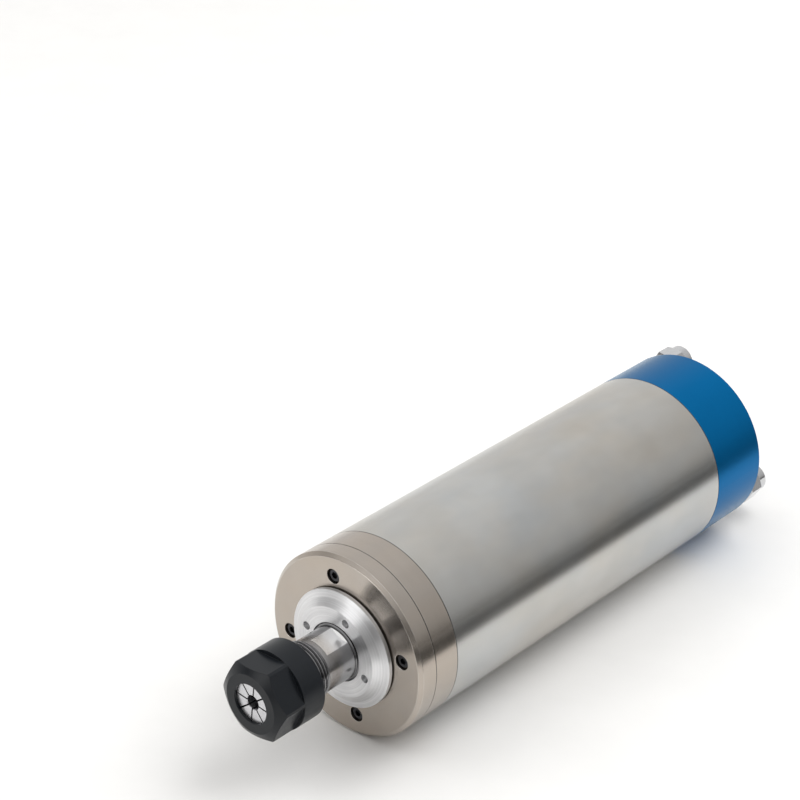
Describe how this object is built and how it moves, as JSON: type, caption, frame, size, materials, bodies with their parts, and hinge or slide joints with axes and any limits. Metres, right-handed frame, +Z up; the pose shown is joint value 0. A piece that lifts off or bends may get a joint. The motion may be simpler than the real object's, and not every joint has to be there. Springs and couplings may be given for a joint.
{
  "type": "water-cooled motor spindle",
  "caption": "Round water-cooled spindle: motor in a brushed sleeve, shaft with dust cap, spring collet and hexagonal nut in front, anodised cap with water nozzles and power socket behind.",
  "frame": {"origin": "on the spindle axis, in the plane of the body's front face", "axes": "+Y along the axis from the nose to the rear cap, +Z up as it lies in the picture"},
  "size_m": [0.08, 0.308, 0.08],
  "materials": {
    "brushed_sleeve": "brushed round the axis",
    "front_steel": "fine turned",
    "turned_aluminium": "turned",
    "shaft_steel": "ground",
    "collet_steel": "ground",
    "black_oxide": "black oxide, satin",
    "black_screws": "black oxide",
    "bearing_steel": "polished",
    "cage_resin": "machined resin",
    "laminations": "stacked sheet",
    "cast_aluminium": "cast",
    "jacket_aluminium": "turned",
    "copper_winding": "varnished copper",
    "lead_insulation": "silicone",
    "seal_rubber": "matt",
    "spring_steel": "tempered",
    "blue_anodised": "anodised, satin",
    "nickel_fittings": "nickel plated",
    "socket_plastic": "moulded",
    "contact_brass": "gilt"
  },
  "bodies": {
    "housing": {"outer_sleeve": "brushed_sleeve", "front_cover": "front_steel", "front_bearing_housing": "front_steel", "front_cover_screws": "black_screws", "front_o_rings": "seal_rubber", "front_outer_spacer": "bearing_steel", "stator_core": "laminations", "stator_winding": "copper_winding", "water_jacket": "jacket_aluminium", "rear_bearing_housing": "jacket_aluminium", "rear_o_ring": "seal_rubber", "wave_spring": "spring_steel", "retaining_ring": "spring_steel", "rear_cover": "blue_anodised", "rear_cover_screws": "black_screws", "passage_o_rings": "seal_rubber", "motor_leads": "lead_insulation", "water_nozzle_1": "nickel_fittings", "water_nozzle_2": "nickel_fittings", "nozzle_nut_1": "nickel_fittings", "nozzle_nut_2": "nickel_fittings", "power_socket_shell": "nickel_fittings", "power_socket_insert": "socket_plastic", "power_socket_pins": "contact_brass", "power_socket_nut": "nickel_fittings", "front_bearing_1_outer_ring": "bearing_steel", "front_bearing_2_outer_ring": "bearing_steel", "rear_bearing_outer_ring": "bearing_steel"},
    "spindle": {"spindle_shaft": "shaft_steel", "dust_cap": "turned_aluminium", "front_inner_spacer": "bearing_steel", "front_bearing_1_inner_ring": "bearing_steel", "front_bearing_2_inner_ring": "bearing_steel", "rear_bearing_inner_ring": "bearing_steel", "rotor_core": "laminations", "rotor_cage": "cast_aluminium", "rear_lock_nut": "bearing_steel"},
    "front_cage_1": {"front_bearing_1_balls": "bearing_steel", "front_bearing_1_cage": "cage_resin"},
    "front_cage_2": {"front_bearing_2_balls": "bearing_steel", "front_bearing_2_cage": "cage_resin"},
    "rear_cage": {"rear_bearing_balls": "bearing_steel", "rear_bearing_cage": "cage_resin"},
    "collet": {"collet": "collet_steel"},
    "nut": {"collet_nut": "black_oxide"}
  },
  "joints": [
    {"name": "shaft_spin", "type": "hinge", "parent": "housing", "child": "spindle", "pos_m": [0, 0, 0], "axis": [0, -1, 0], "continuous": true},
    {"name": "front_cage_1_spin", "type": "hinge", "parent": "housing", "child": "front_cage_1", "pos_m": [0, 0.017, 0], "axis": [0, -1, 0], "continuous": true},
    {"name": "front_cage_2_spin", "type": "hinge", "parent": "housing", "child": "front_cage_2", "pos_m": [0, 0.032, 0], "axis": [0, -1, 0], "continuous": true},
    {"name": "rear_cage_spin", "type": "hinge", "parent": "housing", "child": "rear_cage", "pos_m": [0, 0.1915, 0], "axis": [0, -1, 0], "continuous": true},
    {"name": "collet_slide", "type": "slide", "parent": "spindle", "child": "collet", "axis": [0, -1, 0], "range_m": [0, 0.012]},
    {"name": "nut_turn", "type": "hinge", "parent": "collet", "child": "nut", "pos_m": [0, -0.0405, 0], "axis": [0, -1, 0], "range_deg": [0, 2881]}
  ],
  "couplings": [
    {"joint": "front_cage_1_spin", "follows": "shaft_spin", "ratio": 0.41481},
    {"joint": "front_cage_2_spin", "follows": "shaft_spin", "ratio": 0.41481},
    {"joint": "rear_cage_spin", "follows": "shaft_spin", "ratio": 0.40217},
    {"joint": "nut_turn", "follows": "collet_slide", "rad_per_m": 4188.8}
  ]
}
